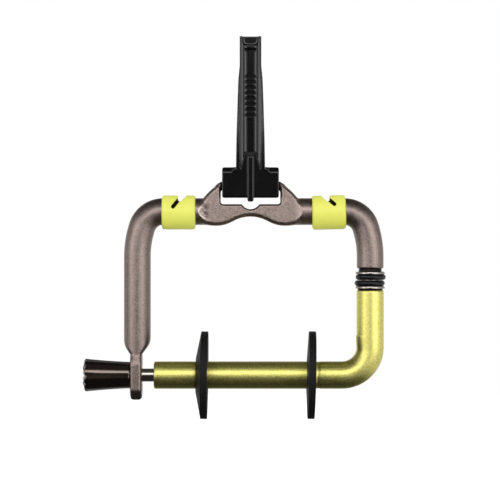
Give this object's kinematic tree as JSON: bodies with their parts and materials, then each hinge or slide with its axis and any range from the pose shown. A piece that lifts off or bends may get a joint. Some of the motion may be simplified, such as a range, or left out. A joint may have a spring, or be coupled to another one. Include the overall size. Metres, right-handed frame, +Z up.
{
  "type": "fishing line winder",
  "caption": "C-shaped frame that straps to a fishing rod and holds a line spool on a swing-open bar between rubber stops, with slotted rings that guide the line.",
  "frame": {"origin": "on the axis of the clamped rod, at the middle of the saddle", "axes": "+X runs along the rod and the spool bar, +Z is up towards the strap's tip, the front faces -Y"},
  "size_m": [0.0881, 0.0254, 0.1107],
  "materials": {
    "frame_metal": "satin gunmetal-brown anodised bar with a fine metallic sparkle",
    "guide_plastic": "smooth lime plastic",
    "strap_rubber": "black moulded rubber with a soft sheen",
    "gold_bar": "yellow-gold anodised bar with a grainy sparkle",
    "steel": "polished steel",
    "dark_metal": "black oxide steel",
    "bright_washer": "polished black nickel",
    "ring_rubber": "smooth black rubber",
    "bush_plastic": "dark self-lubricating plastic",
    "bush_brass": "plain brass",
    "knob_gloss": "glossy brown-black",
    "stop_rubber": "matte black rubber"
  },
  "bodies": {
    "frame_group": {"frame": "frame_metal", "line_guide_left": "guide_plastic", "line_guide_right": "guide_plastic", "swivel_pin": "steel", "neck_washer": "dark_metal", "upper_washer": "bright_washer", "upper_o_ring": "ring_rubber", "pin_set_screw": "dark_metal", "ear_bush": "bush_brass"},
    "bar_group": {"spool_bar": "gold_bar", "lower_o_ring": "ring_rubber", "lower_washer": "bright_washer", "foot_washer": "dark_metal", "swivel_bush": "bush_plastic", "retaining_screw": "dark_metal", "end_bush": "bush_plastic"},
    "strap_group": {"rod_strap": "strap_rubber"},
    "lock_group": {"lock_screw": "steel"},
    "knob_group": {"lock_knob": "knob_gloss", "knob_set_screw": "dark_metal"},
    "stop_left_group": {"stop_left": "stop_rubber"},
    "stop_right_group": {"stop_right": "stop_rubber"}
  },
  "joints": [
    {"name": "bar_swing", "type": "hinge", "parent": "frame_group", "child": "bar_group", "pos_m": [0.0347, -0.00617, -0.029], "axis": [0, 0, 1], "continuous": true},
    {"name": "lock_slide", "type": "slide", "parent": "frame_group", "child": "lock_group", "axis": [-1, 0, 0], "range_m": [0, 0.0056]},
    {"name": "knob_turn", "type": "hinge", "parent": "lock_group", "child": "knob_group", "pos_m": [-0.042, -0.00617, -0.055], "axis": [-1, 0, 0], "range_deg": [0, 2882]},
    {"name": "strap_swing", "type": "hinge", "parent": "frame_group", "child": "strap_group", "pos_m": [0, -0.00697, 0], "axis": [1, 0, 0], "range_deg": [-125, 118]},
    {"name": "stop_left_slide", "type": "slide", "parent": "bar_group", "child": "stop_left_group", "axis": [1, 0, 0], "range_m": [-0.011, 0.012]},
    {"name": "stop_right_slide", "type": "slide", "parent": "bar_group", "child": "stop_right_group", "axis": [1, 0, 0], "range_m": [-0.015, 0.006]}
  ],
  "couplings": [
    {"joint": "knob_turn", "follows": "lock_slide", "rad_per_m": 8976}
  ]
}
